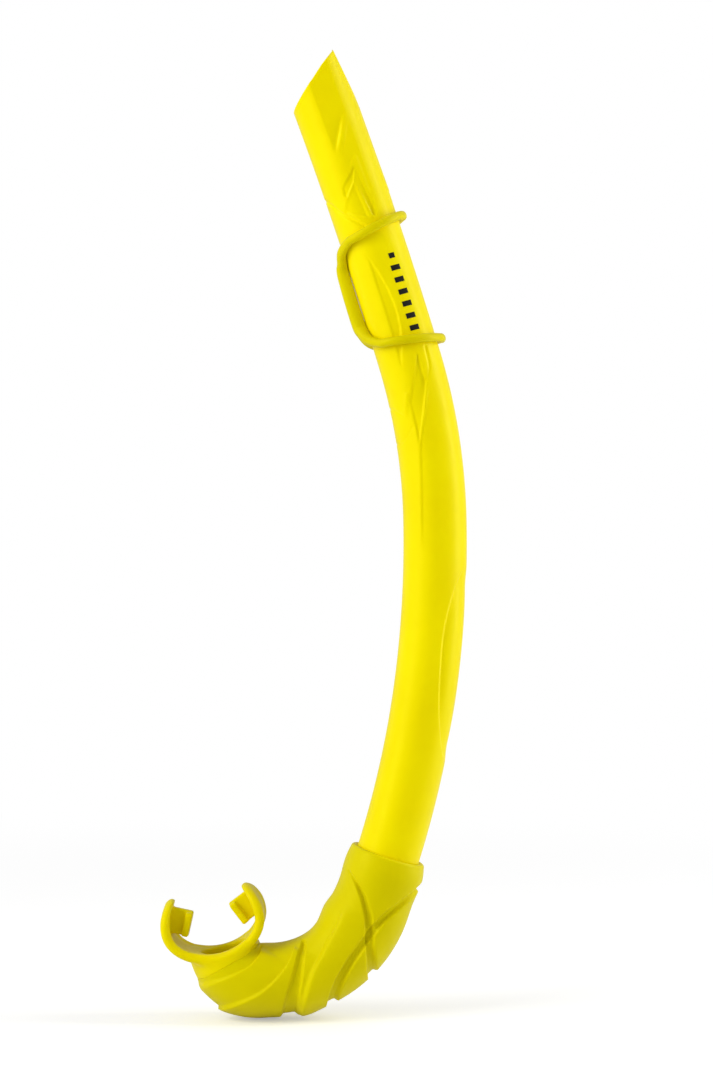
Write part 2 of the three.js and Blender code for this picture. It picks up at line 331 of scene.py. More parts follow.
BOOT_RELIEF = [
    # Two crossing channels, widening as they run down the elbow.
    Groove(
        [(57.6, 18.6, 0.5), (61.0, 13.4, 1.3), (63.7, 8.0, 2.3), (65.6, 1.3, 3.2), (66.1, -5.0, 3.6),
         (66.7, -13.6, 3.7), (67.5, -24.0, 3.9), (68.0, -29, 4.0)],
        depth=1.8,
    ),
    Groove(
        [(90.0, 12.5, 2.0), (80.4, 5.8, 2.6), (73.2, 0.6, 3.1), (67.4, -6.0, 3.6), (61.0, -14.2, 3.8),
         (56.0, -22.2, 3.9), (52.1, -31.2, 4.1), (49.8, -42.0, 4.4)],
        depth=1.8,
    ),
    # The upright channel across the elbow's floor.
    Groove(
        [(38.6, -11.5, 1.6), (38.2, -15.0, 2.4), (36.8, -22.0, 3.9), (34.6, -32.0, 5.6), (32.9, -42.0, 6.8),
         (32.0, -47, 7.2)],
        depth=1.5, edge=0.6,
    ),
    # The rounded fold beside it.
    Step(
        [(38.0, -46.0), (39.4, -36.5), (43.2, -24.0), (46.8, -17.2), (51.2, -9.0), (54.2, -3.6), (58.0, 5.4)],
        1.5, fade=6.0, side=-1, edge=2.4,
    ),
    # Lapped edges that sweep round towards the mouthpiece.
    Step(
        [(-3.5, -40.8), (2.7, -39.4), (10.9, -36.0), (20.9, -31.0), (27.8, -25.4), (32.4, -20.0),
         (34.6, -15.6), (35.6, -12.6)],
        1.35, fade=5.0, side=-1, edge=0.6,
    ),
    Step(
        [(-10.0, -30.4), (-4.8, -29.3), (5.4, -25.6), (15.3, -21.2), (19.8, -17.4), (21.8, -13.4)],
        1.25, fade=6.0, side=-1, edge=0.5,
    ),
]

# ---- Meshes ----


def add(name, data):
    """A new object in the scene."""
    thing = bpy.data.objects.new(name, data)
    bpy.context.scene.collection.objects.link(thing)
    return thing


def new_piece(name, vertices, faces, body, node, material):
    """A smooth-shaded object from points in millimetres, riding on a body of the frame.

    It stands for a CAD node, which it hides, except a printed mark, which stands for none. Each piece takes
    the material that it is given.
    """
    mesh = bpy.data.meshes.new(name)
    mesh.from_pydata((np.asarray(vertices, float) * MM).tolist(), [], np.asarray(faces).tolist())
    mesh.validate()
    mesh.shade_smooth()
    mesh.materials.append(material)
    piece = add(name, mesh)
    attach(piece, body)
    if node:
        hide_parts(node)
    return piece


def ring_faces(rows, columns):
    """Quads of a grid of rings, whose last ring joins on to its first, as round a tube's wall."""
    i = np.arange(rows)[:, None]
    j = np.arange(columns)[None, :]
    below, right = (i + 1) % rows, (j + 1) % columns
    corners = (i * columns + j, below * columns + j, below * columns + right, i * columns + right)
    return np.stack([c.ravel() for c in corners], 1)


def tube_point(s, radius, theta, across=None):
    """Points at angle theta round the airway. Theta 0 is the side away from the elbow's inner corner."""
    x, z, heading = airway.at(s)
    side = radius * np.cos(theta)
    y = -(radius if across is None else across) * np.sin(theta)
    return np.stack([x + side * np.cos(heading), y, z - side * np.sin(heading)], -1)


def outward(s, theta):
    """The directions in which those points face."""
    _, _, heading = airway.at(s)
    return np.stack([np.cos(theta) * np.cos(heading), -np.sin(theta), -np.cos(theta) * np.sin(heading)], -1)


def plane_distance(points, plane):
    """How far points lie past a plane that stands across the J."""
    x, z, slope = plane
    return -(points[..., 0] - x) * math.sin(rad(slope)) + (points[..., 2] - z) * math.cos(rad(slope))


def raised(features, points, theta, weight):
    """How far the features lift each point, scaled by its weight."""
    lift = np.zeros(len(points))
    shown = weight > 0
    lift[shown] = relief(features, points[shown][:, [0, 2]], theta[shown]) * weight[shown]
    return lift


# ---- Barrel ----

BARREL_ROW = 0.5
BARREL_COLUMNS = 184
EVEN_ROWS_END = UPPER_S + 80  # above it the rows lean over step by step, to lie along the slanted cut
LEANING_ROWS = 90
BORE_LEANING_ROWS = 24
RIM_ROUND = 0.55
RIM_STEPS = 5
RIM_FACE_STEPS = 6
RIM_RELIEF = 0.6  # the share of the relief that the rim's face takes
CHAMFERED_FROM = BORE_R + 0.9  # the tip's chamfer takes only the points outside this radius
FOOT_CHAMFER = 0.8
FOOT_FLARE = 0.6
COVERED = 3  # the barrel's outside starts to show, and to take relief, this far inside the collar
KEEPER_CLEARANCE = 0.15
KEEPER_MARGIN = 14


def cut_distance(side):
    """The distance along the airway at which the slanted top cut lies, for an offset from the axis."""
    s0 = airway.pieces[-1][0]
    x, z, heading = airway.at(np.array([s0]))
    start = plane_distance(np.stack([x, 0 * x, z], -1), TOP_CUT)
    along = np.stack([np.sin(heading), 0 * x, np.cos(heading)], -1)
    sideways = np.stack([np.cos(heading), 0 * x, -np.sin(heading)], -1)
    nil = (TOP_CUT[0], 0, TOP_CUT[1])
    per_s = plane_distance(along + nil, TOP_CUT)
    per_side = plane_distance(sideways + nil, TOP_CUT)
    return s0 - (start + per_side * side) / per_s


def rim_ring(theta, radius, drop, weight):
    """A ring that lies along the slanted cut, `drop` under it."""
    return cut_distance(radius * np.cos(theta)) - drop, radius, weight


def barrel_outside(theta):
    """Rings of (distance, radius, relief weight) from the foot's inner edge up to the start of the rim."""
    foot = COLLAR_S - SPIGOT_DEPTH
    rings = [(foot + 1, BORE_R, 0), (foot, BORE_R + FOOT_FLARE, 0)]
    rings += [(foot, BARREL_R - FOOT_CHAMFER, 0), (foot + FOOT_CHAMFER, BARREL_R, 0)]
    rings += [(s, BARREL_R, 0) for s in np.arange(foot + 3, COLLAR_S - COVERED, 1.0)]
    even = np.arange(COLLAR_S - COVERED, EVEN_ROWS_END, BARREL_ROW)
    rings += [(s, BARREL_R, 1) for s in even]
    top = rim_ring(theta, BARREL_R, RIM_ROUND, 1)[0]
    last = even[-1]
    rings += [(last + (top - last) * share, BARREL_R, 1) for share in np.linspace(0, 1, LEANING_ROWS)[1:]]
    return rings, last


def barrel_rim(theta):
    """Rings over the rim: round its outer edge, across its face and round its inner edge."""
    rings = []
    for angle in np.linspace(0, math.pi / 2, RIM_STEPS)[1:]:
        inset = RIM_ROUND * (1 - math.cos(angle))
        rings.append(rim_ring(theta, BARREL_R - inset, RIM_ROUND * (1 - math.sin(angle)), 1))
    for inset in np.linspace(RIM_ROUND, BARREL_R - BORE_R - RIM_ROUND, RIM_FACE_STEPS)[1:-1]:
        rings.append(rim_ring(theta, BARREL_R - inset, 0, RIM_RELIEF))
    for angle in np.linspace(math.pi / 2, 0, RIM_STEPS):
        inset = RIM_ROUND * (1 - math.cos(angle))
        rings.append(rim_ring(theta, BORE_R + inset, RIM_ROUND * (1 - math.sin(angle)), 0))
    return rings


def barrel_bore(theta, even_end):
    """Rings down the bore, to just above the foot."""
    top = rim_ring(theta, BORE_R, RIM_ROUND, 0)[0]
    shares = np.linspace(1, 0, BORE_LEANING_ROWS)[1:]
    rings = [(even_end + (top - even_end) * share, BORE_R, 0) for share in shares]
    rings += [(s, BORE_R, 0) for s in np.arange(even_end - 4, COLLAR_S - SPIGOT_DEPTH + 2, -4.0)]
    return rings


def full_grids(rings, theta):
    """The rings' columns as grids, where a ring holds one number for all its angles or one for each."""
    grids = []
    for column in zip(*rings):
        grids.append(np.array([np.broadcast_to(value, theta.shape) for value in column], float))
    return grids


def chamfered(points, plane, takes):
    """The points with those past the plane, where `takes` is true, brought back on to it."""
    slope = rad(plane[2])
    past = np.clip(plane_distance(points, plane), 0, None) * takes
    return points - past[:, None] * np.array([-math.sin(slope), 0, math.cos(slope)])


def build_barrel(material):
    theta = np.linspace(0, 2 * math.pi, BARREL_COLUMNS, endpoint=False)
    rings, even_end = barrel_outside(theta)
    rings += barrel_rim(theta)
    rings += barrel_bore(theta, even_end)
    s, radius, weight = full_grids(rings, theta)
    angle = np.broadcast_to(theta, s.shape)
    points = tube_point(s, radius, angle).reshape(-1, 3)
    facing = outward(s, angle).reshape(-1, 3)
    s, radius, weight, angle = s.ravel(), radius.ravel(), weight.ravel(), angle.ravel()
    lift = raised(BARREL_RELIEF, points, angle, weight * (s > COLLAR_S - COVERED))
    keeper_top = UPPER_S + UPPER_LENGTH * KEEPER_AT[0]
    under_keeper = (s > UPPER_S - KEEPER_MARGIN) & (s < keeper_top + KEEPER_MARGIN)
    lift[under_keeper] = np.minimum(lift[under_keeper], KEEPER_CLEARANCE / 2)
    points = chamfered(points + lift[:, None] * facing, TIP_CHAMFER, radius > CHAMFERED_FROM)
    faces = ring_faces(len(rings), BARREL_COLUMNS)
    new_piece("barrel_tube", points, faces, "tube", "barrel", material)


# ---- Boot ----

BOOT_COLUMNS = 216
BOOT_ROW = 0.42
BOOT_R = 15.4
COLLAR_EXTRA = 0.7
LIP_HALF_WIDTHS = (15.1, 14.9, 14.2)  # on the outer side, on the inner side and across
COLLAR_ROUND = 1.05
LIP_ROUND = 0.12
ROUND_STEPS = 6
COLLAR_SWELL_S = COLLAR_S - 8
INNER_SWELL_S = 73.0
CORNER_SWELL_S = 0.65 * FLOOR_S
RELIEF_FADE = 2  # the relief dies away over this length at each end of the boot
SLEEVE_GAP = 0.3  # between the foot of the barrel and the sleeve's floor
LIP_SOCKET_R = 12.4
LIP_SOCKET_DEPTH = 8


def swelling(s, middle, height, spread):
    """A soft swelling of the wall round one place along the airway."""
    return height * np.exp(-(((s - middle) / spread) ** 2))


def boot_radius(s):
    """In-plane half-width on the outer side and on the inner side, and half-width across."""
    collar = smooth((s - FLOOR_S) / (COLLAR_S - FLOOR_S))
    mouth = smooth((s - LIP_S) / (FLOOR_S - LIP_S))
    outer, inner, across = (
        np.where(s < FLOOR_S, lip + (BOOT_R - lip) * mouth, BOOT_R + COLLAR_EXTRA * collar)
        for lip in LIP_HALF_WIDTHS
    )
    neckdown = swelling(s, COLLAR_S, -0.4, 2.8)
    swell = swelling(s, COLLAR_SWELL_S, 1.0, 6.0)
    corner = swelling(s, CORNER_SWELL_S, 0.9, 7.0)
    inner_swell = swelling(s, INNER_SWELL_S, 2.7, 12.0)
    outer = outer + corner + neckdown + swell
    inner = inner + neckdown + 0.6 * swell + inner_swell
    return outer, inner, across + neckdown + 0.3 * swell


def boot_outer(s, theta, inset):
    """Points of the outside, whose section blends from the inner side's half-width to the outer side's."""
    outer, inner, across = boot_radius(s)
    toward = smooth(0.5 + 0.5 * np.cos(theta) / 0.6)
    in_plane = inner + (outer - inner) * toward - inset
    return tube_point(s, in_plane, theta, across - inset)


def edge_rows(end, radius, toward, angles):
    """Rows of (distance, inset, relief weight) round an edge that lies at `end`."""
    return [(end + toward * radius * (1 - math.sin(a)), radius * (1 - math.cos(a)), 0) for a in angles]


def boot_outside_rows():
    """Rows of (distance, inset, relief weight) from the lip's round to the collar's round."""
    first, last = LIP_S + LIP_ROUND, COLLAR_S - COLLAR_ROUND
    rows = edge_rows(LIP_S, LIP_ROUND, 1, np.linspace(math.pi / 2, 0, ROUND_STEPS))
    for s in np.arange(first + 0.3, last, BOOT_ROW):
        rows.append((s, 0, min(1, (s - first) / RELIEF_FADE, (last - s) / RELIEF_FADE)))
    return rows + edge_rows(COLLAR_S, COLLAR_ROUND, -1, np.linspace(0, math.pi / 2, ROUND_STEPS))


def boot_inside_rows():
    """Rows of (distance, radius) down the sleeve that holds the barrel, along the bore and out at the lip."""
    foot = COLLAR_S - SPIGOT_DEPTH - SLEEVE_GAP
    rows = [(COLLAR_S - 0.25, BARREL_R + 0.1), (COLLAR_S - 1.2, BARREL_R + 0.08), (COLLAR_S - 2.4, SLEEVE_R)]
    rows += [(s, SLEEVE_R) for s in np.arange(COLLAR_S - 4, COLLAR_S - SPIGOT_DEPTH, -3.0)]
    rows += [(foot, SLEEVE_R), (foot, BORE_R)]
    rows += [(s, BORE_R) for s in np.arange(foot - 3, LIP_S + LIP_SOCKET_DEPTH + 1, -2.0)]
    rows += [(s, LIP_SOCKET_R) for s in np.arange(LIP_S + LIP_SOCKET_DEPTH, LIP_S, -2.0)]
    return rows


def build_boot(material):
    theta = np.linspace(0, 2 * math.pi, BOOT_COLUMNS, endpoint=False)
    outside, inside = boot_outside_rows(), boot_inside_rows()
    rings = [boot_outer(np.full_like(theta, s), theta, inset) for s, inset, _ in outside]
    rings += [tube_point(np.full_like(theta, s), radius, theta) for s, radius in inside]
    places = [row[0] for row in outside + inside]
    weight = np.repeat([row[2] for row in outside] + [0] * len(inside), BOOT_COLUMNS)
    facing = np.array([outward(np.full_like(theta, s), theta) for s in places]).reshape(-1, 3)
    points = np.array(rings).reshape(-1, 3)
    lift = raised(BOOT_RELIEF, points, np.tile(theta, len(rings)), weight)
    faces = ring_faces(len(rings), BOOT_COLUMNS)
    points = points + lift[:, None] * facing
    new_piece("elbow_boot", points, faces, "elbow", "boot", material)


# ---- Soft solids by distance fields ----


def soft_min(a, b, k):
    """Joins two solids with a fillet of about k."""
    h = np.clip(0.5 + 0.5 * (b - a) / k, 0, 1)
    return b + (a - b) * h - k * h * (1 - h)


def soft_max(a, b, k):
    return -soft_min(-a, -b, k)


def rounded_box(p, half, radius):
    """Distance to a box with rounded edges, centred on the origin."""
    q = np.abs(p) - (np.array(half) - radius)
    outside = np.sqrt((np.clip(q, 0, None) ** 2).sum(-1))
    return outside + np.clip(q.max(-1), None, 0) - radius


def net_points(field, cell, offsets):
    """One point in each cell that the surface passes through: the mean of its crossings with cell edges."""
    total = np.zeros((len(cell), 3))
    hits = np.zeros(len(cell))
    for a in offsets:
        for axis in range(3):
            if a[axis]:
                continue
            b = list(a)
            b[axis] = 1
            fa = field[tuple((cell + a).T)]
            fb = field[tuple((cell + b).T)]
            cross = (fa < 0) != (fb < 0)
            where = np.array(a, float)[None, :].repeat(cross.sum(), 0)
            where[:, axis] = fa[cross] / (fa[cross] - fb[cross])
            total[cross] += where
            hits[cross] += 1
    return cell + total / hits[:, None]


def net_quads(inside, cells, number):
    """A quad round each grid edge that the surface crosses, wound so that it faces out."""
    quads = []
    for axis in range(3):
        u, v = (axis + 1) % 3, (axis + 2) % 3
        first = [slice(1, c) for c in cells]
        first[axis] = slice(0, cells[axis])
        second = list(first)
        second[axis] = slice(1, cells[axis] + 1)
        a, b = inside[tuple(first)], inside[tuple(second)]
        for flips, mask in ((False, a & ~b), (True, ~a & b)):
            at = np.argwhere(mask) + [0 if i == axis else 1 for i in range(3)]
            ring = []
            for du, dv in ((0, 0), (-1, 0), (-1, -1), (0, -1)):
                c = at.copy()
                c[:, u] += du
                c[:, v] += dv
                ring.append(number[tuple(c.T)])
            quad = np.stack(ring, 1)
            quads.append(quad[:, ::-1] if flips else quad)
    return np.vstack(quads)


def skin(field, low, pitch):
    """The surface where a field of distances is zero, as points and quads (surface nets)."""
    inside = field < 0
    cells = np.array(field.shape) - 1
    offsets = [(i, j, k) for i in (0, 1) for j in (0, 1) for k in (0, 1)]
    corners = [inside[tuple(slice(o, o + c) for o, c in zip(offset, cells))] for offset in offsets]
    count = sum(corner.astype(np.int8) for corner in corners)
    active = (count > 0) & (count < len(offsets))
    cell = np.argwhere(active)
    number = np.full(cells, -1, np.int64)
    number[active] = np.arange(len(cell))
    return net_points(field, cell, offsets) * pitch + low, net_quads(inside, cells, number)


def grid_points(low, high, pitch):
    axes = [np.arange(a, b + pitch, pitch) for a, b in zip(low, high)]
    return np.stack(np.meshgrid(*axes, indexing="ij"), -1)


def relax(piece):
    """Evens out the small steps that surface nets leave, and makes the result the piece's own mesh."""
    smoother = piece.modifiers.new("relax", "SMOOTH")
    smoother.factor = 0.5
    smoother.iterations = 4
    graph = bpy.context.evaluated_depsgraph_get()
    stepped = piece.data
    piece.data = bpy.data.meshes.new_from_object(piece.evaluated_get(graph))
    piece.modifiers.clear()
    bpy.data.meshes.remove(stepped)
    piece.data.shade_smooth()


# ---- Mouthpiece ----

MOUTH_PITCH = 0.40
MOUTH_LOW = (-25.0, -16.0, -37.0)
MOUTH_HIGH = (26.0, 16.0, 16.0)

SHIELD_HALF_WIDTH = 19.8
SHIELD_FLOOR = 14.3
SHIELD_RISE = 20.0
SHIELD_CENTRE = -3.5
SHIELD_ROLL = 12.5
SHIELD_SHIFT = 0.3
SHIELD_TIP = 36.5  # how far up its ellipse each arm reaches, in degrees
SHIELD_WALL = 2.6
SHIELD_HALF_HEIGHT = 13.0
ARM_START = -2.5  # from this v upwards the shield narrows into its round-ended arms
ARM_RISE = 11.6
ARM_FULLNESS = 0.96
RIM_BEAD = 1.95
RIM_BEAD_THINNING = 0.45
NECK_STOP = 0.6  # how far inside the middle of the shield's wall the neck ends
NECK_FILLET = 2.6
TAB_FILLET = 1.3
BORE_FILLET = 1.1

TAB_LEAN = 25
TAB_U = 9.9
TAB_V = -3.0
RIDGE_HALF = (1.45, 4.7, 5.05)
RIDGE_OUT = 1.4
BLADE_HALF = (5.4, 1.55, 5.35)
BLADE_OUT = 5.4
BLADE_UP = 0.3

# Ovals round the mouth bend: half-width in the plane, half-width across, first and last turn in degrees.
NECK = (15.0, 14.1, -14, 22.6)
MOUTH_SPIGOT = (12.1, 12.0, 8, 52)
MOUTH_BORE = (9.8, 8.8, -40, 60)


def rolled(p):
    """Frame coordinates to the shield's own: u across the mouth, y, and v towards it."""
    c, s = math.cos(rad(SHIELD_ROLL)), math.sin(rad(SHIELD_ROLL))
    u = p[..., 0] * c + p[..., 2] * s - SHIELD_SHIFT
    return np.stack([u, p[..., 1], -p[..., 0] * s + p[..., 2] * c], -1)


def shield_line():
    """The middle line of the lip shield's wall in plan."""
    upper = np.radians(np.linspace(SHIELD_TIP, 0, 30))
    lower = np.radians(np.linspace(0, -180, 90))
    right = np.stack([SHIELD_HALF_WIDTH * np.cos(upper), SHIELD_CENTRE + SHIELD_RISE * np.sin(upper)], 1)
    floor = np.stack([SHIELD_HALF_WIDTH * np.cos(lower), SHIELD_CENTRE + SHIELD_FLOOR * np.sin(lower)], 1)
    left = right[::-1] * [-1, 1]
    return np.vstack([right, floor[1:-1], left])


def shield_field(q):
    """The shield: a bent plate whose edge is a round bead that runs right round it.

    The plan distance is looked up on the plane Y = 0 alone, because it is the same at every Y.
    """
    plan = q[:, 0, :, :][..., [0, 2]].reshape(-1, 2)
    d, _, _ = nearest(plan, shield_line())
    d = d.reshape(q.shape[0], 1, q.shape[2])
    y, v = q[..., 1], q[..., 2]
    bead_r = RIM_BEAD - RIM_BEAD_THINNING * smooth(v / 7)
    over = np.clip(v - ARM_START, 0, None) / ARM_RISE
    round_end = (np.sqrt(over**2 + (y / SHIELD_HALF_HEIGHT) ** 2) - 1) * SHIELD_HALF_HEIGHT * ARM_FULLNESS
    side = np.where(v > ARM_START, round_end, np.abs(y) - SHIELD_HALF_HEIGHT)
    plate = soft_max(d - SHIELD_WALL / 2, side + bead_r, 0.8)
    bead = np.sqrt(d**2 + (side + bead_r) ** 2) - bead_r
    return soft_min(plate, bead, 1.2)


def shield_outside(q):
    """Negative within the shield's outer face, above its middle."""
    u, v = q[..., 0], q[..., 2] - SHIELD_CENTRE
    half_wall = SHIELD_WALL / 2
    radial = np.sqrt((u / (SHIELD_HALF_WIDTH + half_wall)) ** 2 + (v / (SHIELD_RISE + half_wall)) ** 2)
    return (radial - 1) * SHIELD_HALF_WIDTH


def shield_inside(q):
    """Negative behind a surface within the shield's wall, so that the neck doesn't fill the mouth side."""
    u, v = q[..., 0], q[..., 2] - SHIELD_CENTRE
    inner_width, inner_floor = SHIELD_HALF_WIDTH - NECK_STOP, SHIELD_FLOOR - NECK_STOP
    radial = np.sqrt((u / inner_width) ** 2 + (v / inner_floor) ** 2)
    return np.where(v < 0, (1 - radial) * inner_floor, inner_floor * (1 - np.abs(u) / inner_width))


def tab_field(q, side):
    """One bite tab: a blade for the teeth, with a standing ridge at its inner end."""
    lean = rad(TAB_LEAN)
    u = q[..., 0] * side - TAB_U
    v = q[..., 2] - TAB_V
    along = v * math.cos(lean) - u * math.sin(lean)
    out = u * math.cos(lean) + v * math.sin(lean)
    local = np.stack([out, q[..., 1], along], -1)
    ridge = rounded_box(local - [RIDGE_OUT, 0, 0], RIDGE_HALF, 0.7)
    blade = rounded_box(local - [BLADE_OUT, 0, BLADE_UP], BLADE_HALF, 0.4)
    blade = soft_max(blade, shield_outside(q), 0.5)
    return soft_min(ridge, blade, 0.7)


def neck_coordinates(p):
    """Turn round the mouth bend's pivot (degrees from the bore's mouth), and distance from the pivot."""
    x, z, heading = airway.at(np.array([0.0]))
    pivot = (x[0] - MOUTH_BEND_R * math.cos(heading[0]), z[0] + MOUTH_BEND_R * math.sin(heading[0]))
    dx, dz = p[..., 0] - pivot[0], p[..., 2] - pivot[1]
    return np.degrees(np.arctan2(-dz, -dx)) - NECK_ROLL, np.hypot(dx, dz)


def neck_field(p, in_plane, across, first, last):
    """An oval solid that follows the mouth bend from one turn to another."""
    turn, away = neck_coordinates(p)
    offset = away - MOUTH_BEND_R
    oval = (np.sqrt((offset / in_plane) ** 2 + (p[..., 1] / across) ** 2) - 1) * min(in_plane, across)
    ends = np.maximum(first - turn, turn - last) * np.radians(1) * away
    return np.maximum(oval, ends)


def build_mouthpiece(material):
    p = grid_points(MOUTH_LOW, MOUTH_HIGH, MOUTH_PITCH)
    q = rolled(p)
    neck = soft_max(neck_field(p, *NECK), shield_inside(q), 0.8)
    field = soft_min(shield_field(q), neck, NECK_FILLET)
    for side in (1, -1):
        field = soft_min(field, tab_field(q, side), TAB_FILLET)
    field = np.minimum(field, neck_field(p, *MOUTH_SPIGOT))
    field = soft_max(field, -neck_field(p, *MOUTH_BORE), BORE_FILLET)
    points, quads = skin(field, np.array(MOUTH_LOW), MOUTH_PITCH)
    relax(new_piece("mouthpiece_shield", points, quads, "elbow", "mouthpiece", material))


# ---- Keeper ----

KEEPER_PITCH = 0.36
KEEPER_LOW = (-21.0, -18.5, -8.0)  # z is measured from the lower ring's place
KEEPER_HIGH = (19.0, 18.5, 8.0)  # z is measured from the upper ring's place
CORD_RADIAL = 1.6
CORD_WIDE = 1.85
BAR_RADIAL = 2.4
BAR_WIDE = 2.1
BAR_BOW = 0.6
RING_GAP = 0.35
BAR_SINK = 0.3  # how far the bar would lie in the barrel, before it is cut back to KEEPER_CLEARANCE
RING_SWEEP = 132
STRAND_REACH = 6.0


def keeper_frame():
    """The keeper's middle on the barrel's axis, its lean, and the distance between its rings."""
    ends = UPPER_S + np.array(KEEPER_AT) * UPPER_LENGTH
    x, z, _ = airway.at(ends)
    mid_x, mid_z, _ = airway.at(np.array([ends.mean()]))
    centre = np.array([x.mean() + (mid_x[0] - x.mean()) * 2 / 3, 0, z.mean() + (mid_z[0] - z.mean()) * 2 / 3])
    lean = math.atan2(x[0] - x[1], z[0] - z[1])
    return centre, lean, math.hypot(x[0] - x[1], z[0] - z[1])


def keeper_strand(spacing, side):
    """One side's cord, from the far nub round the barrel, down the bar and back.

    Each point is x, y, z and the cord's half-widths away from the barrel and along it.
    """
    ring_r = BARREL_R + RING_GAP + CORD_RADIAL
    slope = math.tan(rad(RING_TILT))
    route = []
    for angle in np.radians(np.linspace(0, RING_SWEEP, 12)):
        x = ring_r * math.cos(angle)
        route.append((x, -ring_r * math.sin(angle), spacing / 2 + slope * x, CORD_RADIAL, CORD_WIDE))
    bar_x = -(BARREL_R - BAR_SINK + BAR_RADIAL)
    route.append((-13.9, -6.2, spacing / 2 - 5.0, 1.9, 2.2))
    route.append((-15.0, -2.9, spacing / 2 - 9.0, 2.25, 2.2))
    route.append((bar_x, -1.3, spacing / 2 - 14.0, BAR_RADIAL, BAR_WIDE))
    upper = np.array(route)
    lower = upper[::-1] * [1, 1, -1, 1, 1]
    bow = np.array([-BAR_BOW, 0, 0, BAR_BOW, 0])
    upper[-1] += 0.7 * bow
    for point, share in zip(lower, (1.1, 0.8, 0.3)):
        point += share * bow
    line = spline(np.vstack([upper, lower]), 8)
    return line * [1, side, 1, 1, 1]


def span_field(p, a, b):
    """Distance to one straight span of a cord of oval section, thin away from the barrel's axis."""
    along = b[:3] - a[:3]
    length2 = along @ along
    rel = p - a[:3]
    t = np.clip(rel @ along / length2, 0, 1)[..., None]
    on = a[:3] + t * along
    off = p - on
    radial = on * [1, 1, 0]
    radial -= (radial @ along)[..., None] * along / length2
    radial /= np.sqrt((radial**2).sum(-1))[..., None]
    high = (off * radial).sum(-1)
    wide = np.sqrt(np.clip((off**2).sum(-1) - high**2, 0, None))
    thin = a[3] + (b[3] - a[3]) * t[..., 0]
    broad = a[4] + (b[4] - a[4]) * t[..., 0]
    k = np.sqrt((high / thin) ** 2 + (wide / broad) ** 2)
    return (k - 1) * np.minimum(thin, broad)


def strand_field(p, line, low):
    """Distance to a whole cord, each span worked out only at the grid points near it."""
    best = np.full(p.shape[:-1], 1e3)
    for a, b in zip(line[:-1], line[1:]):
        first = ((np.minimum(a[:3], b[:3]) - STRAND_REACH - low) / KEEPER_PITCH).astype(int)
        last = ((np.maximum(a[:3], b[:3]) + STRAND_REACH - low) / KEEPER_PITCH).astype(int) + 1
        near = tuple(slice(m, n) for m, n in zip(np.maximum(first, 0), last))
        best[near] = np.minimum(best[near], span_field(p[near], a, b))
    return best


def build_keeper(material):
    centre, lean, spacing = keeper_frame()
    low = KEEPER_LOW - np.array([0, 0, spacing / 2])
    high = KEEPER_HIGH + np.array([0, 0, spacing / 2])
    p = grid_points(low, high, KEEPER_PITCH)
    near_side, far_side = (strand_field(p, keeper_strand(spacing, side), low) for side in (1, -1))
    clear = BARREL_R + KEEPER_CLEARANCE - np.hypot(p[..., 0], p[..., 1])
    field = soft_max(soft_min(near_side, far_side, 1.0), clear, 0.15)
    points, quads = skin(field, low, KEEPER_PITCH)
    c, s = math.cos(lean), math.sin(lean)
    x, y, z = points.T
    placed = np.stack([x * c + z * s, y, -x * s + z * c], 1) + centre
    relax(new_piece("keeper_cord", placed, quads, "strap_keeper", "keeper", material))


# ---- Printed mark ----

MARKS = 7
MARK_SPACING = 5.2
FIRST_MARK_S = UPPER_S + 43.0
MARK_HALF_LENGTH = 1.1
MARK_HALF_WIDTHS = [1.2] + [1.9] * (MARKS - 1)
MARK_OFFSET = 5.3  # from the middle of the near side, towards the outside of the J
MARK_HEIGHTS = (0.03, 0.09)
MARK_ROWS = 5
MARK_COLUMNS = 12


def mark_points(middle, half_width):
    """The under side and then the top of one printed bar, each as rows of points."""
    w = np.linspace(-half_width, half_width, MARK_COLUMNS) + MARK_OFFSET
    s = np.linspace(-MARK_HALF_LENGTH, MARK_HALF_LENGTH, MARK_ROWS) + middle
    grid_s, grid_w = np.meshgrid(s, w, indexing="ij")
    theta = np.arccos(grid_w / BARREL_R)
    return [tube_point(grid_s, BARREL_R + height, theta).reshape(-1, 3) for height in MARK_HEIGHTS]


def mark_faces():
    """The faces of one printed bar: under side, top, and the thin edge all round."""
    number = np.arange(MARK_ROWS * MARK_COLUMNS).reshape(MARK_ROWS, MARK_COLUMNS)
    a = number[:-1, :-1].ravel()
    under = np.stack([a, a + MARK_COLUMNS, a + MARK_COLUMNS + 1, a + 1], 1)
    over = under[:, ::-1] + number.size
    edge = np.concatenate([number[0], number[1:, -1], number[-1, -2::-1], number[-2:0:-1, 0]])
    beside = np.roll(edge, -1)
    rim = np.stack([edge, beside, beside + number.size, edge + number.size], 1)
    return np.vstack([under, over, rim])


def build_print(material):
    """A plain column of short bars printed down the barrel between the rings."""
    vertices, faces = [], []
    for n, half_width in enumerate(MARK_HALF_WIDTHS):
        vertices += mark_points(FIRST_MARK_S - n * MARK_SPACING, half_width)
        faces.append(mark_faces() + n * 2 * MARK_ROWS * MARK_COLUMNS)
    new_piece("barrel_print", np.vstack(vertices), np.vstack(faces), "tube", None, material)


# ---- Materials ----

WHITE = (1, 1, 1, 1)
MOTTLE_SCALE = 42.0
GLOSS_SCALE = 130.0
PEEL_SCALE = 900.0
WAVE_SCALE = 60.0


def nodes_of(name):
    material = bpy.data.materials.new(name)
    material.use_nodes = True
    tree = material.node_tree
    return material, tree, tree.nodes["Principled BSDF"]


def noise(tree, scale, detail=4.0):
    """Noise over the object's own coordinates, which all the noises of a material share."""
    place = tree.nodes.get("place") or tree.nodes.new("ShaderNodeTexCoord")
    place.name = "place"
    node = tree.nodes.new("ShaderNodeTexNoise")
    node.inputs["Scale"].default_value = scale
    node.inputs["Detail"].default_value = detail
    tree.links.new(place.outputs["Object"], node.inputs["Vector"])
    return node.outputs["Fac"]


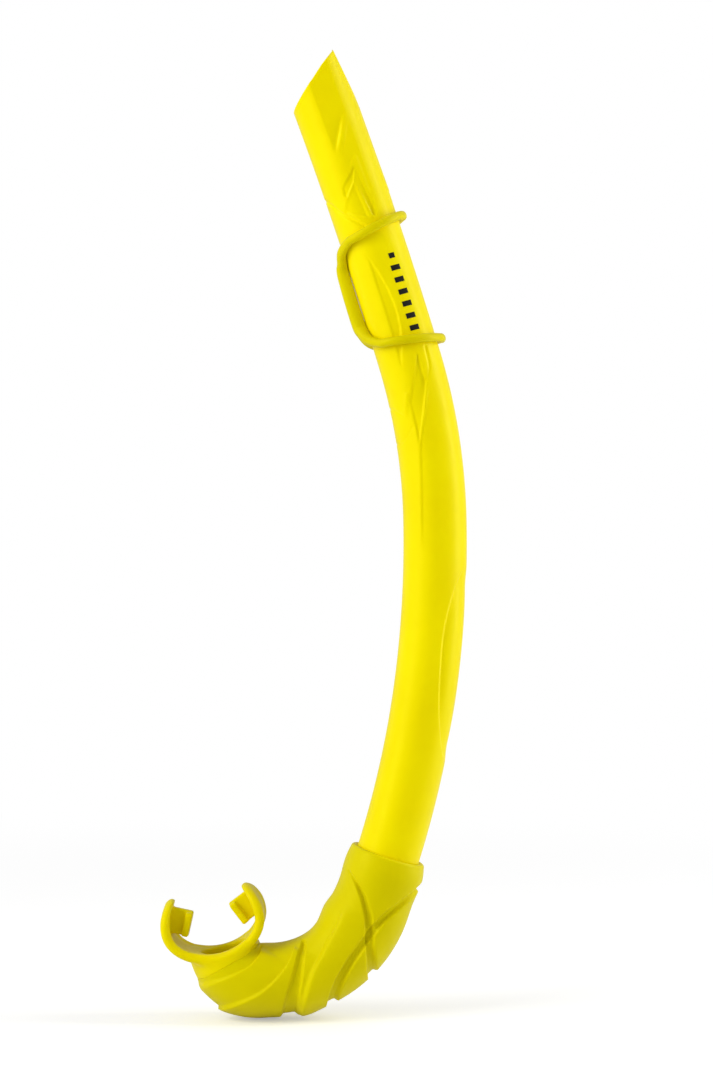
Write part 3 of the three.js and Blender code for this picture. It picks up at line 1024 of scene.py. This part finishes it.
def between(tree, source, low, high):
    """A noise stretched to run from low to high."""
    node = tree.nodes.new("ShaderNodeMapRange")
    node.inputs["From Min"].default_value = 0.3
    node.inputs["From Max"].default_value = 0.7
    node.inputs["To Min"].default_value = low
    node.inputs["To Max"].default_value = high
    tree.links.new(source, node.inputs["Value"])
    return node.outputs["Result"]


def mottled(tree, shader, factor, colour, shade):
    """Mixes two colours by a noise, as the shader's base colour."""
    mix = tree.nodes.new("ShaderNodeMix")
    mix.data_type = "RGBA"
    mix.inputs["A"].default_value = (*colour, 1)
    mix.inputs["B"].default_value = (*shade, 1)
    tree.links.new(factor, mix.inputs["Factor"])
    tree.links.new(mix.outputs["Result"], shader.inputs["Base Color"])


def bump_node(tree, scale, strength, distance):
    """A bump node driven by fine noise."""
    node = tree.nodes.new("ShaderNodeBump")
    node.inputs["Strength"].default_value = strength
    node.inputs["Distance"].default_value = distance
    tree.links.new(noise(tree, scale, 2.0), node.inputs["Height"])
    return node


def soft_yellow(name, colour, shade, roughness, soft):
    """Satin moulded elastomer: a slightly uneven colour and gloss, and the fine orange peel of a mould."""
    material, tree, shader = nodes_of(name)
    mottled(tree, shader, between(tree, noise(tree, MOTTLE_SCALE), 0.0, 1.0), colour, shade)
    gloss = between(tree, noise(tree, GLOSS_SCALE), roughness - 0.05, roughness + 0.06)
    tree.links.new(gloss, shader.inputs["Roughness"])
    shader.inputs["Subsurface Weight"].default_value = soft
    shader.inputs["Subsurface Radius"].default_value = (1.0, 0.75, 0.05)
    shader.inputs["Subsurface Scale"].default_value = 0.0025
    shader.inputs["Specular Tint"].default_value = (1.0, 0.94, 0.05, 1)
    shader.inputs["IOR"].default_value = 1.45
    shader.inputs["Specular IOR Level"].default_value = 0.24
    peel = bump_node(tree, PEEL_SCALE, 0.10, 0.0002)
    wave = bump_node(tree, WAVE_SCALE, 0.25, 0.0006)
    tree.links.new(peel.outputs["Normal"], wave.inputs["Normal"])
    tree.links.new(wave.outputs["Normal"], shader.inputs["Normal"])
    material.diffuse_color = (*colour, 1)
    return material


def ink(name):
    """A matt black print, slightly worn."""
    material, tree, shader = nodes_of(name)
    tree.links.new(between(tree, noise(tree, 300.0), 0.5, 0.65), shader.inputs["Roughness"])
    shader.inputs["Specular IOR Level"].default_value = 0.15
    mottled(tree, shader, noise(tree, 700.0), (0.004, 0.004, 0.004), (0.014, 0.013, 0.008))
    return material


# ---- Studio, in metres ----

CAMERA_DISTANCE = 1.009
CAMERA_LENS = 80.9
CAMERA_ASIDE = 0.0178

# Area lights: name, place, width and height, power in watts.
LIGHTS = [
    ("key", (-1.02, -0.64, 0.65), (0.7, 1.0), 11.8),
    ("rim", (0.87, -0.02, 0.30), (0.25, 1.3), 6.4),
]
SURROUND_STRENGTH = 0.47

FLOOR_RINGS = [0.2, 0.5, 1.0, 2.0, 4.0, 7.0]  # radii
FLOOR_SIDES = 96
FLOOR_GAP = 0.001
FLOOR_LIFT = 0.36
FADE_START = 0.10
FADE_END = 0.75


def build_camera():
    """Level with the frame's X axis, square to the J, and aimed at the middle of the snorkel's height."""
    low, high = CAD_BOX
    aim = Vector(((low[0] + high[0]) / 2 + CAMERA_ASIDE, 0, (low[2] + high[2]) / 2))
    data = bpy.data.cameras.new("camera")
    data.lens = CAMERA_LENS
    camera = add("camera", data)
    camera.location = aim + Vector((0, -CAMERA_DISTANCE, 0))
    camera.rotation_euler = (math.pi / 2, 0, 0)
    bpy.context.scene.camera = camera


def soft_light(name, place, size, power, target):
    data = bpy.data.lights.new(name, "AREA")
    data.shape = "RECTANGLE"
    data.size, data.size_y = size
    data.energy = power
    light = add(name, data)
    light.location = place
    light.rotation_euler = (Vector(target) - Vector(place)).to_track_quat("-Z", "Y").to_euler()


def build_surround():
    """An even white surround that looks brighter to the camera than it is as a light."""
    world = bpy.data.worlds.new("surround")
    bpy.context.scene.world = world
    world.use_nodes = True
    tree = world.node_tree
    light = tree.nodes["Background"]
    light.inputs["Color"].default_value = WHITE
    light.inputs["Strength"].default_value = SURROUND_STRENGTH
    shown = tree.nodes.new("ShaderNodeBackground")
    shown.inputs["Color"].default_value = WHITE
    shown.inputs["Strength"].default_value = 1.0
    path = tree.nodes.new("ShaderNodeLightPath")
    mix = tree.nodes.new("ShaderNodeMixShader")
    tree.links.new(path.outputs["Is Camera Ray"], mix.inputs["Fac"])
    tree.links.new(light.outputs["Background"], mix.inputs[1])
    tree.links.new(shown.outputs["Background"], mix.inputs[2])
    tree.links.new(mix.outputs["Shader"], tree.nodes["World Output"].inputs["Surface"])


def times(tree, source, factor):
    """One socket's value times a number or another socket's value."""
    node = tree.nodes.new("ShaderNodeMath")
    node.operation = "MULTIPLY"
    tree.links.new(source, node.inputs[0])
    if isinstance(factor, float):
        node.inputs[1].default_value = factor
    else:
        tree.links.new(factor, node.inputs[1])
    return node.outputs["Value"]


def distance_fade(tree):
    """0 near the object, and 1 far out on the floor."""
    place = tree.nodes.new("ShaderNodeTexCoord")
    length = tree.nodes.new("ShaderNodeVectorMath")
    length.operation = "LENGTH"
    tree.links.new(place.outputs["Object"], length.inputs[0])
    fade = tree.nodes.new("ShaderNodeMapRange")
    fade.interpolation_type = "SMOOTHSTEP"
    fade.inputs["From Min"].default_value = FADE_START
    fade.inputs["From Max"].default_value = FADE_END
    tree.links.new(length.outputs["Value"], fade.inputs["Value"])
    return fade.outputs["Result"]


def floor_look():
    """A pale matt floor, lifted a little for the camera, that fades into the surround."""
    material, tree, shader = nodes_of("pale_floor")
    shader.inputs["Base Color"].default_value = (0.8, 0.8, 0.8, 1)
    shader.inputs["Roughness"].default_value = 0.7
    shader.inputs["Specular IOR Level"].default_value = 0.2
    shader.inputs["Emission Color"].default_value = WHITE
    seen = tree.nodes.new("ShaderNodeLightPath").outputs["Is Camera Ray"]
    tree.links.new(times(tree, seen, FLOOR_LIFT), shader.inputs["Emission Strength"])
    glow = tree.nodes.new("ShaderNodeEmission")
    glow.inputs["Color"].default_value = WHITE
    mix = tree.nodes.new("ShaderNodeMixShader")
    tree.links.new(times(tree, distance_fade(tree), seen), mix.inputs["Fac"])
    tree.links.new(shader.outputs["BSDF"], mix.inputs[1])
    tree.links.new(glow.outputs["Emission"], mix.inputs[2])
    tree.links.new(mix.outputs["Shader"], tree.nodes["Material Output"].inputs["Surface"])
    return material


def build_floor(level, centre_x):
    """A round floor just under the object."""
    angles = np.linspace(0, 2 * math.pi, FLOOR_SIDES, endpoint=False)
    vertices = [(centre_x, 0, 0)]
    for radius in FLOOR_RINGS:
        vertices += [(centre_x + radius * math.cos(a), radius * math.sin(a), 0) for a in angles]
    following = [(i + 1) % FLOOR_SIDES for i in range(FLOOR_SIDES)]
    faces = [(0, 1 + i, 1 + j) for i, j in enumerate(following)]
    for ring in range(len(FLOOR_RINGS) - 1):
        a, b = 1 + ring * FLOOR_SIDES, 1 + (ring + 1) * FLOOR_SIDES
        faces += [(a + i, b + i, b + j, a + j) for i, j in enumerate(following)]
    mesh = bpy.data.meshes.new("floor")
    mesh.from_pydata(vertices, [], faces)
    mesh.shade_smooth()
    mesh.materials.append(floor_look())
    floor = add("floor", mesh)
    floor.location.z = level - FLOOR_GAP


def build_studio():
    """A pale floor that fades into a pale surround, with large soft lights."""
    bpy.context.scene.view_settings.view_transform = "Standard"
    low, high = CAD_BOX
    centre = ((low[0] + high[0]) / 2, 0, (low[2] + high[2]) / 2)
    for name, place, size, power in LIGHTS:
        soft_light(name, place, size, power, centre)
    build_surround()
    build_floor(low[2], centre[0])


# ---- Assembly ----

build_camera()
# All four yellows stand for one moulded yellow: the barrel's is its full colour, and the darker base colours
# of the mouthpiece, the keeper and most of all the boot are painted shade.
build_barrel(soft_yellow("barrel_yellow", (0.95, 0.81, 0.0), (0.90, 0.75, 0.0), 0.36, 0.10))
build_boot(soft_yellow("boot_yellow_painted_shade", (0.745, 0.65, 0.0), (0.69, 0.6, 0.0), 0.42, 0.15))
build_mouthpiece(soft_yellow("mouthpiece_yellow_painted_shade", (0.86, 0.735, 0.0), (0.81, 0.68, 0.0), 0.40, 0.2))
build_keeper(soft_yellow("keeper_yellow_painted_shade", (0.755, 0.66, 0.0), (0.68, 0.59, 0.0), 0.42, 0.12))
build_print(ink("print_black"))
build_studio()
